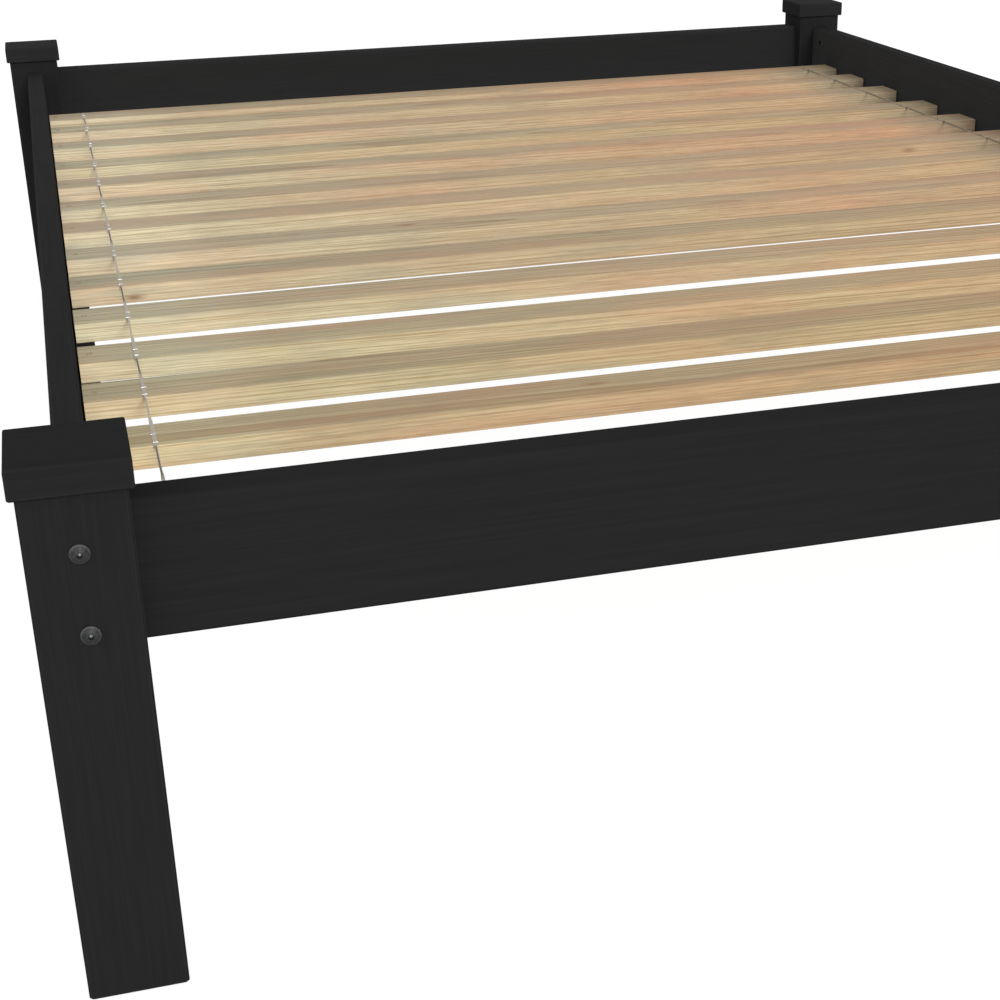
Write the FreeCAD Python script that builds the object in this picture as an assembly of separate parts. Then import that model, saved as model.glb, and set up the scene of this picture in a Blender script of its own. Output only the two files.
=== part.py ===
"""Low-end wooden bed frame for a double mattress, painted black, with bare pine slats.

The two end frames are glued: each end rail has a stub tenon in a mortise in each post. The side rails
come off: two connector bolts go through each post into barrel nuts in the end of the side rail. A ledge
is fixed along the inside of each side rail and the slats lie on the ledges. Two flat tapes run over the
slats to keep them apart, turn down the foot rail and end on the last slat.

Frame of the model: X runs across the bed, Y along it from the foot end to the head end, Z up. The
origin is on the floor, under the middle of the bed. Left is the side at -X. Sizes are in millimetres.
"""

import FreeCAD
import Part
import math
import os

# The mattress and the space left round it
MATTRESS_WIDTH = 1370.0
MATTRESS_LENGTH = 1905.0
WIDTH_EASE = 4.0
LENGTH_EASE = 5.0

# Posts and their caps
POST_SIDE = 75.0
POST_RISE = 18.0
POST_ARRIS = 2.0
SPIGOT_SIDE = 36.0
SPIGOT_RISE = 12.0
CAP_OVERHANG = 4.5
CAP_THICK = 23.0
CAP_TOP_ROUND = 2.5
CAP_FOOT_CHAMFER = 1.2
CAP_CORNER_CHAMFER = 1.2

# Rails
FLOOR_TO_RAIL = 286.0
RAIL_HEIGHT = 108.0
END_RAIL_THICK = 34.0
END_RAIL_ROUND = 5.0
SIDE_RAIL_THICK = 24.0
SIDE_RAIL_ARRIS = 2.0

# Tenons of the end rails
TENON_THICK = 14.0
TENON_SHOULDER = 16.0
TENON_BOLT_WALL = 4.0
JOINT_EASE = 0.15

# Connector bolts and barrel nuts of the side rails
BOLT_RADIUS = 3.0
BOLT_HOLE_EASE = 0.3
BOLT_HEAD_RADIUS = 7.15
BOLT_HEAD_HEIGHT = 4.2
BOLT_HEAD_RIM = 1.1
BOLT_SOCKET_FLATS = 4.0
BOLT_SOCKET_DEPTH = 2.4
BOLT_BELOW_RAIL_TOP = 26.0
BOLT_ABOVE_RAIL_FOOT = 20.0
BOLT_SHORT_OF_NUT_BACK = 1.0
NUT_RADIUS = 5.0
NUT_FROM_RAIL_END = 32.0
NUT_COVER = 3.0
NUT_SLOT_WIDTH = 1.4
NUT_SLOT_DEPTH = 1.2

# Ledges
LEDGE_WIDTH = 20.0
LEDGE_HEIGHT = 26.5
LEDGE_LIFT = 1.0
LEDGE_FROM_RAIL_END = 50.0
LEDGE_ARRIS = 1.2

# Slats
SLAT_COUNT = 13
SLAT_WIDTH = 53.0
SLAT_THICK = 21.0
SLAT_ARRIS = 1.0
SLAT_END_EASE = 2.0
FOOT_GAP = 231.5
HEAD_GAP = 81.5
# How far each slat lies from its even place, as a share of the pitch, read off the photograph
SLAT_DRIFT_SHARES = [
    0, 0.002, -0.087, -0.052, -0.026, -0.031, -0.012, -0.051, 0.004, -0.021, 0.121, 0.125, 0,
]

# Slat tapes
TAPE_WIDTH = 3.2
TAPE_THICK = 0.6
TAPE_FROM_SLAT_END = 54.0
TAPE_TURN_DOWN = 24.0
TAPE_BEND = 2.5
TAPE_SHORT_OF_SLAT_BACK = 4.0

# How far a cutting tool runs past the face that it opens
OVERRUN = 1.0

side_inset = (POST_SIDE - SIDE_RAIL_THICK) / 2
end_inset = (POST_SIDE - END_RAIL_THICK) / 2
inner_width = MATTRESS_WIDTH + 2 * WIDTH_EASE
inner_length = MATTRESS_LENGTH + 2 * LENGTH_EASE
frame_width = inner_width + 2 * (SIDE_RAIL_THICK + side_inset)
frame_length = inner_length + 2 * (END_RAIL_THICK + end_inset)
rail_top = FLOOR_TO_RAIL + RAIL_HEIGHT
post_height = rail_top + POST_RISE
ledge_top = FLOOR_TO_RAIL + LEDGE_LIFT + LEDGE_HEIGHT
slat_top = ledge_top + SLAT_THICK

post_x = (frame_width - POST_SIDE) / 2
post_y = (frame_length - POST_SIDE) / 2
bolt_heights = [FLOOR_TO_RAIL + BOLT_ABOVE_RAIL_FOOT, rail_top - BOLT_BELOW_RAIL_TOP]
bolt_hole_radius = BOLT_RADIUS + BOLT_HOLE_EASE
side_rail_length = frame_length - 2 * POST_SIDE
nut_length = SIDE_RAIL_THICK - 2 * NUT_COVER
bolt_length = POST_SIDE + NUT_FROM_RAIL_END + NUT_RADIUS - BOLT_SHORT_OF_NUT_BACK
tenon_length = POST_SIDE / 2 - bolt_hole_radius - TENON_BOLT_WALL
tenon_height = RAIL_HEIGHT - 2 * TENON_SHOULDER
ledge_length = side_rail_length - 2 * LEDGE_FROM_RAIL_END
slat_length = inner_width - 2 * SLAT_END_EASE
slat_pitch = (inner_length - FOOT_GAP - HEAD_GAP - SLAT_WIDTH) / (SLAT_COUNT - 1)
tape_x = slat_length / 2 - TAPE_FROM_SLAT_END
ledge_face_x = inner_width / 2 - LEDGE_WIDTH

SIDES = {"left": -1, "right": 1}
ENDS = {"foot": -1, "head": 1}


def vec(x, y, z):
    """A point or a direction."""
    return FreeCAD.Vector(x, y, z)


def block(size, low):
    """A plain block from its lowest corner."""
    return Part.makeBox(size[0], size[1], size[2], vec(*low))


def centred_block(size, centre):
    """A plain block round its middle."""
    return block(size, [c - s / 2 for s, c in zip(size, centre)])


def along(solid, axis):
    """The edges of a block that run along an axis."""
    return [edge for edge in solid.Edges if abs(getattr(edge.tangentAt(0), axis)) > 0.5]


def slat_starts():
    """The Y of each slat's foot-side edge, from the foot end to the head end."""
    first = FOOT_GAP - inner_length / 2
    last = SLAT_COUNT - 1
    starts = []
    for i in range(SLAT_COUNT):
        share = SLAT_DRIFT_SHARES[round(i * (len(SLAT_DRIFT_SHARES) - 1) / last)]
        starts.append(first + (i + share) * slat_pitch)
    return starts


def bolt_axes(end):
    """Where the bolts of one end enter the posts, as (x, z) pairs."""
    return [(side * post_x, z) for side in SIDES.values() for z in bolt_heights]


def make_post(side, end):
    """A square post with its mortise, two bolt holes and, on top, the spigot that holds the cap."""
    low = (side * post_x - POST_SIDE / 2, end * post_y - POST_SIDE / 2, 0)
    post = block((POST_SIDE, POST_SIDE, post_height), low)
    post = post.makeChamfer(POST_ARRIS, along(post, "z"))
    post = post.makeChamfer(POST_ARRIS, [e for e in post.Edges if e.BoundBox.ZMax < POST_ARRIS])
    spigot = (SPIGOT_SIDE, SPIGOT_SIDE, SPIGOT_RISE + OVERRUN)
    spigot_z = post_height + (SPIGOT_RISE - OVERRUN) / 2
    post = post.fuse(centred_block(spigot, (side * post_x, end * post_y, spigot_z)))
    depth = tenon_length + JOINT_EASE
    mortise = (depth + OVERRUN, TENON_THICK + 2 * JOINT_EASE, tenon_height + 2 * JOINT_EASE)
    inner_face = side * (post_x - POST_SIDE / 2)
    middle = inner_face + side * (depth - OVERRUN) / 2
    post = post.cut(centred_block(mortise, (middle, end * post_y, FLOOR_TO_RAIL + RAIL_HEIGHT / 2)))
    for z in bolt_heights:
        start = vec(side * post_x, low[1] - OVERRUN, z)
        post = post.cut(Part.makeCylinder(bolt_hole_radius, POST_SIDE + 2 * OVERRUN, start, vec(0, 1, 0)))
    return post


def make_cap(side, end):
    """A square cap that stands past the post, rounded over on top, with a socket for the spigot."""
    width = POST_SIDE + 2 * CAP_OVERHANG
    centre = (side * post_x, end * post_y, post_height + CAP_THICK / 2)
    blank = centred_block((width, width, CAP_THICK), centre)
    cap = blank.makeFillet(CAP_TOP_ROUND, [e for e in blank.Edges if e.BoundBox.ZMin > centre[2]])
    corners = blank.makeChamfer(CAP_CORNER_CHAMFER, along(blank, "z"))
    foot = [e for e in corners.Edges if e.BoundBox.ZMax < centre[2]]
    cap = cap.common(corners.makeChamfer(CAP_FOOT_CHAMFER, foot))
    socket_side = SPIGOT_SIDE + 2 * JOINT_EASE
    socket_rise = SPIGOT_RISE + JOINT_EASE
    socket = (socket_side, socket_side, socket_rise + OVERRUN)
    socket_z = post_height + (socket_rise - OVERRUN) / 2
    return cap.cut(centred_block(socket, (centre[0], centre[1], socket_z)))


def make_end_rail(end):
    """An end rail between two posts, with a stub tenon at each end."""
    length = frame_width - 2 * POST_SIDE
    middle = (0, end * post_y, FLOOR_TO_RAIL + RAIL_HEIGHT / 2)
    rail = centred_block((length, END_RAIL_THICK, RAIL_HEIGHT), middle)
    rail = rail.makeFillet(END_RAIL_ROUND, along(rail, "x"))
    tenon = (length + 2 * tenon_length, TENON_THICK, tenon_height)
    return rail.fuse(centred_block(tenon, middle)).removeSplitter()


def make_side_rail(side):
    """A side rail with its two bolt bores and two barrel nut bores at each end."""
    centre = (side * post_x, 0, FLOOR_TO_RAIL + RAIL_HEIGHT / 2)
    rail = centred_block((SIDE_RAIL_THICK, side_rail_length, RAIL_HEIGHT), centre)
    rail = rail.makeChamfer(SIDE_RAIL_ARRIS, along(rail, "y"))
    inner_face = side * inner_width / 2
    nut_bore = SIDE_RAIL_THICK - NUT_COVER + JOINT_EASE
    for end in ENDS.values():
        for z in bolt_heights:
            start = vec(side * post_x, end * (side_rail_length / 2 + OVERRUN), z)
            hole = Part.makeCylinder(bolt_hole_radius, NUT_FROM_RAIL_END + OVERRUN, start, vec(0, -end, 0))
            place = vec(inner_face - side * OVERRUN, end * (side_rail_length / 2 - NUT_FROM_RAIL_END), z)
            cross = Part.makeCylinder(NUT_RADIUS + JOINT_EASE, nut_bore + OVERRUN, place, vec(side, 0, 0))
            rail = rail.cut(hole).cut(cross)
    return rail


def make_ledge(side):
    """The ledge that carries the slats."""
    centre = (side * (ledge_face_x + LEDGE_WIDTH / 2), 0, ledge_top - LEDGE_HEIGHT / 2)
    ledge = centred_block((LEDGE_WIDTH, ledge_length, LEDGE_HEIGHT), centre)
    return ledge.makeChamfer(LEDGE_ARRIS, along(ledge, "y"))


def make_slat(start):
    """One slat, its long arrises planed off."""
    slat = block((slat_length, SLAT_WIDTH, SLAT_THICK), (-slat_length / 2, start, ledge_top))
    return slat.makeChamfer(SLAT_ARRIS, along(slat, "x"))


def make_tape(side):
    """A flat tape, turned down at the foot rail's inner face, laid over all the slats, cut on the last."""
    face = -inner_length / 2
    inside = face + TAPE_THICK
    outer_bend = TAPE_BEND + TAPE_THICK
    level = face + outer_bend
    cut = inner_length / 2 - HEAD_GAP - TAPE_SHORT_OF_SLAT_BACK
    top = slat_top + TAPE_THICK
    low = slat_top - TAPE_TURN_DOWN
    slope = math.sqrt(0.5)

    def corner(radius):
        """The quarter turn where the tape comes up from the rail's face."""
        cz = top - outer_bend
        rail_side = vec(0, level - radius, cz)
        half_way = vec(0, level - radius * slope, cz + radius * slope)
        return Part.Arc(rail_side, half_way, vec(0, level, cz + radius)).toShape()

    def line(y1, z1, y2, z2):
        """A straight edge of the tape's outline."""
        return Part.makeLine(vec(0, y1, z1), vec(0, y2, z2))

    outline = [
        line(face, low, face, top - outer_bend),
        corner(outer_bend),
        line(level, top, cut, top),
        line(cut, top, cut, slat_top),
        line(cut, slat_top, level, slat_top),
        corner(TAPE_BEND),
        line(inside, top - outer_bend, inside, low),
        line(inside, low, face, low),
    ]
    wire = Part.Wire(Part.__sortEdges__(outline))
    tape = Part.Face(wire).extrude(vec(TAPE_WIDTH, 0, 0))
    tape.translate(vec(side * tape_x - TAPE_WIDTH / 2, 0, 0))
    return tape


def make_bolts(end):
    """The four connector bolts of one end: low domed heads with hexagon sockets, standing on the posts."""
    rim = BOLT_HEAD_RIM
    rise = BOLT_HEAD_HEIGHT - rim
    crown_radius = (BOLT_HEAD_RADIUS ** 2 + rise ** 2) / (2 * rise)
    half = math.asin(BOLT_HEAD_RADIUS / crown_radius) / 2
    mid = vec(crown_radius * math.sin(half), 0, BOLT_HEAD_HEIGHT - crown_radius * (1 - math.cos(half)))
    head = Part.Wire([
        Part.makeLine(vec(0, 0, -bolt_length), vec(BOLT_RADIUS, 0, -bolt_length)),
        Part.makeLine(vec(BOLT_RADIUS, 0, -bolt_length), vec(BOLT_RADIUS, 0, 0)),
        Part.makeLine(vec(BOLT_RADIUS, 0, 0), vec(BOLT_HEAD_RADIUS, 0, 0)),
        Part.makeLine(vec(BOLT_HEAD_RADIUS, 0, 0), vec(BOLT_HEAD_RADIUS, 0, rim)),
        Part.Arc(vec(BOLT_HEAD_RADIUS, 0, rim), mid, vec(0, 0, BOLT_HEAD_HEIGHT)).toShape(),
        Part.makeLine(vec(0, 0, BOLT_HEAD_HEIGHT), vec(0, 0, -bolt_length)),
    ])
    bolt = Part.Face(head).revolve(vec(0, 0, 0), vec(0, 0, 1), 360)
    reach = BOLT_SOCKET_FLATS / math.sqrt(3)
    turns = [math.radians(60 * i) for i in range(7)]
    floor = BOLT_HEAD_HEIGHT - BOLT_SOCKET_DEPTH
    ring = Part.makePolygon([vec(reach * math.cos(a), reach * math.sin(a), floor) for a in turns])
    bolt = bolt.cut(Part.Face(ring).extrude(vec(0, 0, BOLT_SOCKET_DEPTH + OVERRUN)))
    turn = FreeCAD.Rotation(vec(0, 0, 1), vec(0, end, 0))
    bolts = []
    for x, z in bolt_axes(end):
        copy = bolt.copy()
        copy.Placement = FreeCAD.Placement(vec(x, end * frame_length / 2, z), turn)
        bolts.append(copy)
    return Part.makeCompound(bolts)


def make_barrel_nuts(end):
    """The four barrel nuts of one end, each with a screwdriver slot in its face and the bolt's hole."""
    nuts = []
    y = end * (side_rail_length / 2 - NUT_FROM_RAIL_END)
    for side in SIDES.values():
        for z in bolt_heights:
            start = side * (post_x - nut_length / 2)
            nut = Part.makeCylinder(NUT_RADIUS, nut_length, vec(start, y, z), vec(side, 0, 0))
            hole = vec(side * post_x, y - NUT_RADIUS - OVERRUN, z)
            hole_length = 2 * (NUT_RADIUS + OVERRUN)
            nut = nut.cut(Part.makeCylinder(BOLT_RADIUS + JOINT_EASE, hole_length, hole, vec(0, 1, 0)))
            slot = (2 * NUT_SLOT_DEPTH, 2 * (NUT_RADIUS + OVERRUN), NUT_SLOT_WIDTH)
            nuts.append(nut.cut(centred_block(slot, (start, y, z))))
    return Part.makeCompound(nuts)


def build():
    """Every sub-part, by the name of its node."""
    nodes = {}
    for end_name, end in ENDS.items():
        nodes[end_name + "_rail"] = make_end_rail(end)
        nodes["bolts_" + end_name] = make_bolts(end)
        nodes["barrel_nuts_" + end_name] = make_barrel_nuts(end)
        for side_name, side in SIDES.items():
            nodes["post_" + end_name + "_" + side_name] = make_post(side, end)
            nodes["cap_" + end_name + "_" + side_name] = make_cap(side, end)
    for side_name, side in SIDES.items():
        nodes["side_rail_" + side_name] = make_side_rail(side)
        nodes["ledge_" + side_name] = make_ledge(side)
        nodes["slat_tape_" + side_name] = make_tape(side)
    for number, start in enumerate(slat_starts(), 1):
        nodes["slat_%02d" % number] = make_slat(start)
    return nodes


os.makedirs("parts", exist_ok=True)
for name, shape in build().items():
    if not shape.isValid():
        print("not valid:", name)
    shape.exportStep("parts/" + name + ".step")
    print(name, len(shape.Solids), "solids, volume", round(shape.Volume))
print("frame", round(frame_width), "by", round(frame_length), "slat pitch", round(slat_pitch, 1))
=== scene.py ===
# %% [markdown]
# # A black bed frame with bare pine slats
#
# The CAD model already holds the pieces of this bed in their places: posts, caps, rails, ledges, bolts,
# nuts, slats and tapes. This lesson dresses it. The painted pieces, bolts and nuts keep their CAD shapes
# and get a finish. The slats and tapes are made again with softer edges and finer detail, and the screws
# and staples, too small for the CAD model, are added.
#
# Everything is in metres. X runs across the bed, Y from the foot end to the head end, and Z up from the
# floor. The real thing is cheap and plain, so its charm is all in the wood, and that is where most of the
# work goes.

# %% Load the frame
import bpy
import bmesh
import math
import random
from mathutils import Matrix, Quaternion, Vector


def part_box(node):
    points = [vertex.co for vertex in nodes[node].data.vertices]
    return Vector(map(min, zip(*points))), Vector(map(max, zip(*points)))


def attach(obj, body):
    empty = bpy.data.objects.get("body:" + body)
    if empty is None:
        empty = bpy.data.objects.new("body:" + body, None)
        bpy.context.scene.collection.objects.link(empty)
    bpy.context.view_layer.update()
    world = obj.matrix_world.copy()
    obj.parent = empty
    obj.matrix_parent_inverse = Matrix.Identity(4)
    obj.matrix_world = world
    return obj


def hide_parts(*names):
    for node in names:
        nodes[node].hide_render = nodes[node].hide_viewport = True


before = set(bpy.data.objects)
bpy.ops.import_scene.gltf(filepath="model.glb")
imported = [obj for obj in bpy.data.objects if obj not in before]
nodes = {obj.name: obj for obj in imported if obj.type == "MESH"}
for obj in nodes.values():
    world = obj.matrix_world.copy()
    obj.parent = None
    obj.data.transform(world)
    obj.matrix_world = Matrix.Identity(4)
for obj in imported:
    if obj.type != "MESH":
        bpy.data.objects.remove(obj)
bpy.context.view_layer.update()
scene = bpy.context.scene
MM = 0.001
print("CAD nodes:", len(nodes))

# %% [markdown]
# ## Camera
#
# The photograph was taken from in front of the near left post, a little over a metre away from it and at
# about eye height of someone who crouches. The numbers below are a real camera's: where it stands, which
# way it looks, and how long its lens is. A lens shift stands for the way the picture was cropped.

# %% Camera
CAMERA_PLACE = (-0.6807, -2.1440, 0.8572)
CAMERA_TURN = 15.710
CAMERA_DIP = 23.801
CAMERA_ROLL = -1.003
FOCAL_PIXELS = 1753.68
CENTRE_PIXEL = (560.0, 530.49)
FRAME_PIXELS = 1000
SENSOR_WIDTH = 36.0
CLIP_END = 60.0

turn, dip = math.radians(CAMERA_TURN), math.radians(CAMERA_DIP)
looks = Vector((math.sin(turn) * math.cos(dip), math.cos(turn) * math.cos(dip), -math.sin(dip)))
camera_data = bpy.data.cameras.new("photo_camera")
camera_data.sensor_width = SENSOR_WIDTH
camera_data.lens = FOCAL_PIXELS / FRAME_PIXELS * SENSOR_WIDTH
camera_data.shift_x = (FRAME_PIXELS / 2 - CENTRE_PIXEL[0]) / FRAME_PIXELS
camera_data.shift_y = (CENTRE_PIXEL[1] - FRAME_PIXELS / 2) / FRAME_PIXELS
camera_data.clip_end = CLIP_END
camera = bpy.data.objects.new("photo_camera", camera_data)
roll = Quaternion((0, 0, 1), math.radians(CAMERA_ROLL))
camera.rotation_euler = (looks.to_track_quat("-Z", "Y") @ roll).to_euler()
camera.location = CAMERA_PLACE
scene.collection.objects.link(camera)
scene.camera = camera
scene.view_settings.view_transform = "Standard"
print("lens", round(camera_data.lens, 1), "mm")

# %% [markdown]
# ## Helpers for node trees
#
# Materials and Geometry Nodes are both trees of nodes, so a few small helpers serve for both. One adds a
# node, one joins two nodes, and the others add the nodes that every material here is made of. What comes
# out of a node is written as a (node, output) pair, and most helpers take such pairs and give one back.


# %% Node helpers
def add(tree, kind, inputs=None, **settings):
    """A new node of a tree, with its properties and the values of its inputs set."""
    node = tree.nodes.new(kind)
    for name, value in settings.items():
        setattr(node, name, value)
    for name, value in (inputs or {}).items():
        node.inputs[name].default_value = value
    return node


def join(tree, source, output, target, socket):
    """A link from a node's output to a node's input."""
    tree.links.new(source.outputs[output], target.inputs[socket])


def feed(tree, value, target, socket):
    """Gives an input a number, a colour or what comes out of a (node, output) pair."""
    if isinstance(value, tuple) and isinstance(value[0], bpy.types.Node):
        join(tree, *value, target, socket)
    elif isinstance(value, tuple):
        target.inputs[socket].default_value = (*value, 1.0)
    else:
        target.inputs[socket].default_value = value


def math_node(tree, operation, *values):
    """A Math node on numbers or pairs."""
    node = add(tree, "ShaderNodeMath", operation=operation)
    for i, value in enumerate(values):
        feed(tree, value, node, i)
    return (node, "Value")


def span(tree, source, low=0.0, high=1.0, least=0.0, most=1.0):
    """least where a value is low, most where it is high, and an even change between."""
    limits = {"From Min": low, "From Max": high, "To Min": least, "To Max": most}
    node = add(tree, "ShaderNodeMapRange", limits)
    feed(tree, source, node, "Value")
    return (node, "Result")


def mix_colour(tree, factor, first, second, blend="MIX"):
    """A colour Mix node on numbers, colours or pairs."""
    node = add(tree, "ShaderNodeMix", data_type="RGBA", blend_type=blend)
    for socket, value in ((0, factor), (6, first), (7, second)):
        feed(tree, value, node, socket)
    return (node, 2)


def times(tree, colour, tint):
    """One colour multiplied by another."""
    return mix_colour(tree, 1.0, colour, tint, "MULTIPLY")


def tinted(tree, share, colour, tint):
    """A colour that is multiplied by a tint as far as a share from 0 to 1 says."""
    return mix_colour(tree, share, colour, times(tree, colour, tint))


def ramp(tree, source, stops, interpolation="LINEAR"):
    """A colour ramp from (place, colour) stops. A colour may be one grey number."""
    node = add(tree, "ShaderNodeValToRGB")
    node.color_ramp.interpolation = interpolation
    elements = node.color_ramp.elements
    while len(elements) < len(stops):
        elements.new(1.0)
    for element, (place, colour) in zip(elements, stops):
        element.position = place
        rgb = colour if isinstance(colour, tuple) else (colour, colour, colour)
        element.color = (*rgb, 1.0)
    feed(tree, source, node, "Fac")
    return (node, "Color")


def stretched(tree, source, scale):
    """Coordinates scaled by another factor along each axis."""
    node = add(tree, "ShaderNodeMapping", {"Scale": scale})
    feed(tree, source, node, "Vector")
    return (node, "Vector")


def noise(tree, source, scale=1.0, detail=2.0, roughness=0.5):
    """Soft noise. On one number instead of coordinates it runs along a line."""
    line = source[1] == "Value"
    dimensions, socket = ("1D", "W") if line else ("3D", "Vector")
    settings = {"Scale": scale, "Detail": detail, "Roughness": roughness}
    node = add(tree, "ShaderNodeTexNoise", settings, noise_dimensions=dimensions)
    feed(tree, source, node, socket)
    return (node, "Fac")


def split(tree, source):
    """A node whose outputs X, Y and Z are the parts of a vector."""
    node = add(tree, "ShaderNodeSeparateXYZ")
    feed(tree, source, node, "Vector")
    return node


def far_from_axis(tree, first, second):
    """How far a point is from an axis, from its two places across it."""
    flat = add(tree, "ShaderNodeCombineXYZ")
    feed(tree, first, flat, "X")
    feed(tree, second, flat, "Y")
    length = add(tree, "ShaderNodeVectorMath", operation="LENGTH")
    join(tree, flat, "Vector", length, "Vector")
    return (length, "Value")


def new_tree_of(owner):
    """The emptied node tree of a material or a world."""
    owner.use_nodes = True
    owner.node_tree.nodes.clear()
    return owner.node_tree


def new_material(name):
    """A node material with its output and a Principled shader joined."""
    material = bpy.data.materials.new(name)
    tree = new_tree_of(material)
    shader = add(tree, "ShaderNodeBsdfPrincipled")
    join(tree, shader, "BSDF", add(tree, "ShaderNodeOutputMaterial"), "Surface")
    return material, tree, shader


def bumped(tree, shader, height, strength, distance):
    """Gives a shader the fine relief of a height."""
    bump = add(tree, "ShaderNodeBump", {"Strength": strength, "Distance": distance})
    feed(tree, height, bump, "Height")
    join(tree, bump, "Normal", shader, "Normal")


# %% [markdown]
# ## Floor and studio
#
# The bed stands in front of plain white. A very bright floor would throw light up at the black rails, so
# the floor has two sides to it: to the camera and in reflections it is nearly white with a soft shadow,
# while the light that bounces off it is that of an ordinary pale floor. The Light Path node tells which
# kind of ray has hit it. The world behind works in the same way.

# %% Floor and world
FLOOR_HALF = 20.0
FLOOR_DROP = 0.5 * MM
WHITE = (1.0, 1.0, 1.0)
SEEN_DIFFUSE, SEEN_GLOW = (0.12, 0.12, 0.12), 0.93
BOUNCE_COLOUR = (0.80, 0.80, 0.80)
WORLD_LIGHT, WORLD_SEEN = 0.57, 1.0


def light_node(tree, kind, colour, strength=None):
    """A shader of one colour, and of one strength if it gives light."""
    node = add(tree, kind, {"Color": (*colour, 1.0)})
    if strength is not None:
        node.inputs["Strength"].default_value = strength
    return node


def one_look_two_lights(tree, bounced, seen, output_kind):
    """Shows one shader to the camera, reflections and clear materials, and another to all other light."""
    path = add(tree, "ShaderNodeLightPath")
    mirror = math_node(tree, "MAXIMUM", (path, "Is Glossy Ray"), (path, "Is Transmission Ray"))
    looked_at = math_node(tree, "MAXIMUM", (path, "Is Camera Ray"), mirror)
    choose = add(tree, "ShaderNodeMixShader")
    for socket, value in enumerate((looked_at, (bounced, 0), (seen, 0))):
        feed(tree, value, choose, socket)
    join(tree, choose, "Shader", add(tree, output_kind), "Surface")


floor_mesh = bpy.data.meshes.new("floor")
floor_corners = [(x * FLOOR_HALF, y * FLOOR_HALF, 0) for x, y in ((-1, -1), (1, -1), (1, 1), (-1, 1))]
floor_mesh.from_pydata(floor_corners, [], [(0, 1, 2, 3)])
floor = bpy.data.objects.new("floor", floor_mesh)
floor.location.z = -FLOOR_DROP
scene.collection.objects.link(floor)
pale_floor = bpy.data.materials.new("pale_floor")
tree = new_tree_of(pale_floor)
shown = add(tree, "ShaderNodeAddShader")
join(tree, light_node(tree, "ShaderNodeBsdfDiffuse", SEEN_DIFFUSE), 0, shown, 0)
join(tree, light_node(tree, "ShaderNodeEmission", WHITE, SEEN_GLOW), 0, shown, 1)
bounced = light_node(tree, "ShaderNodeBsdfDiffuse", BOUNCE_COLOUR)
one_look_two_lights(tree, bounced, shown, "ShaderNodeOutputMaterial")
floor_mesh.materials.append(pale_floor)

world = bpy.data.worlds.new("studio")
scene.world = world
tree = new_tree_of(world)
bounced = light_node(tree, "ShaderNodeBackground", WHITE, WORLD_LIGHT)
shown = light_node(tree, "ShaderNodeBackground", WHITE, WORLD_SEEN)
one_look_two_lights(tree, bounced, shown, "ShaderNodeOutputWorld")

# %% [markdown]
# ## Light
#
# In the photograph every black face is about as dark as the next, whichever way it looks, and nothing has
# a hard shadow. That asks for light from all round, so the white world gives most of it. A sun lamp with a
# wide angle, fairly low in front and a little to the right, adds enough direction to model the shapes and
# is no brighter on the near rail than on the far one. It comes from the right because the slats in the
# photograph are bright right up to the left rail and darker along the right one. A soft box high at the
# left opens the insides of the rails, and a weak one behind the bed at the right keeps the far sides
# readable when the camera goes round.

# %% Lamps
LAMPS_AIM = (0.0, 0.0, 0.2)
SUN_FROM, SUN_STRENGTH, SUN_ANGLE = (1.3, -7.3, 4.0), 1.77, 24
SOFT_BOXES = (
    ("left_soft_box", (-6.0, -2.5, 4.6), 3.5, 112.0),
    ("back_soft_box", (3.4, 4.6, 3.6), 3.0, 42.0),
)


def aim_lamp(name, data, place):
    """Puts a lamp in the scene, turned towards the bed."""
    lamp = bpy.data.objects.new(name, data)
    lamp.location = place
    lamp.rotation_euler = (Vector(LAMPS_AIM) - Vector(place)).to_track_quat("-Z", "Y").to_euler()
    scene.collection.objects.link(lamp)


window = bpy.data.lights.new("front_window", "SUN")
window.energy = SUN_STRENGTH
window.angle = math.radians(SUN_ANGLE)
aim_lamp("front_window", window, SUN_FROM)
for name, place, size, power in SOFT_BOXES:
    soft_box = bpy.data.lights.new(name, "AREA")
    soft_box.size = size
    soft_box.energy = power
    aim_lamp(name, soft_box, place)

# %% [markdown]
# ## Black paint
#
# The frame is softwood under a thin dull black. Up close the grain still shows as faint ripples along each
# piece, and what little sheen there is comes and goes. A lighter line is painted along the arrises, a
# painted highlight. The grain runs up the posts but along the rails, so one recipe is made three times
# with its pattern stretched in another direction. The insides of both side rails and the far end get less
# of the lamps' light than the near rail, so the paint is made lighter there: painted light that keeps them
# as black as the near rail and no blacker.

# %% Paint
PAINT_ROUGHNESS = (0.64, 0.86)
PAINT_SPECULAR = 0.004
PAINT_DARK, PAINT_LIGHT = (0.0170, 0.0171, 0.0172), (0.0200, 0.0200, 0.0200)
PAINT_STOPS = [(0.35, PAINT_DARK), (0.70, PAINT_LIGHT)]
# Painted highlight: a lighter colour painted along the arrises, in patches.
PAINT_ARRIS_HIGHLIGHT = (0.040, 0.040, 0.040)
ARRIS_HIGHLIGHT_WHERE = {"low": 0.985, "high": 0.90, "most": 0.8}
GRAIN_FINE, GRAIN_ALONG = 420.0, 9.0
PEEL_FINE, PATCHES_COARSE = 700.0, 14.0
ARRIS_REACH = 1.6 * MM
PEEL_SHARE = 0.25
PAINT_RELIEF = 0.3 * MM
# Painted light: how much lighter the paint is made where the lamps give it less light than the near rail.
FAR_END_PAINTED_LIGHT, LEFT_RAIL_PAINTED_LIGHT, RIGHT_INSIDE_PAINTED_LIGHT = 1.17, 1.12, 1.95


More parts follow.
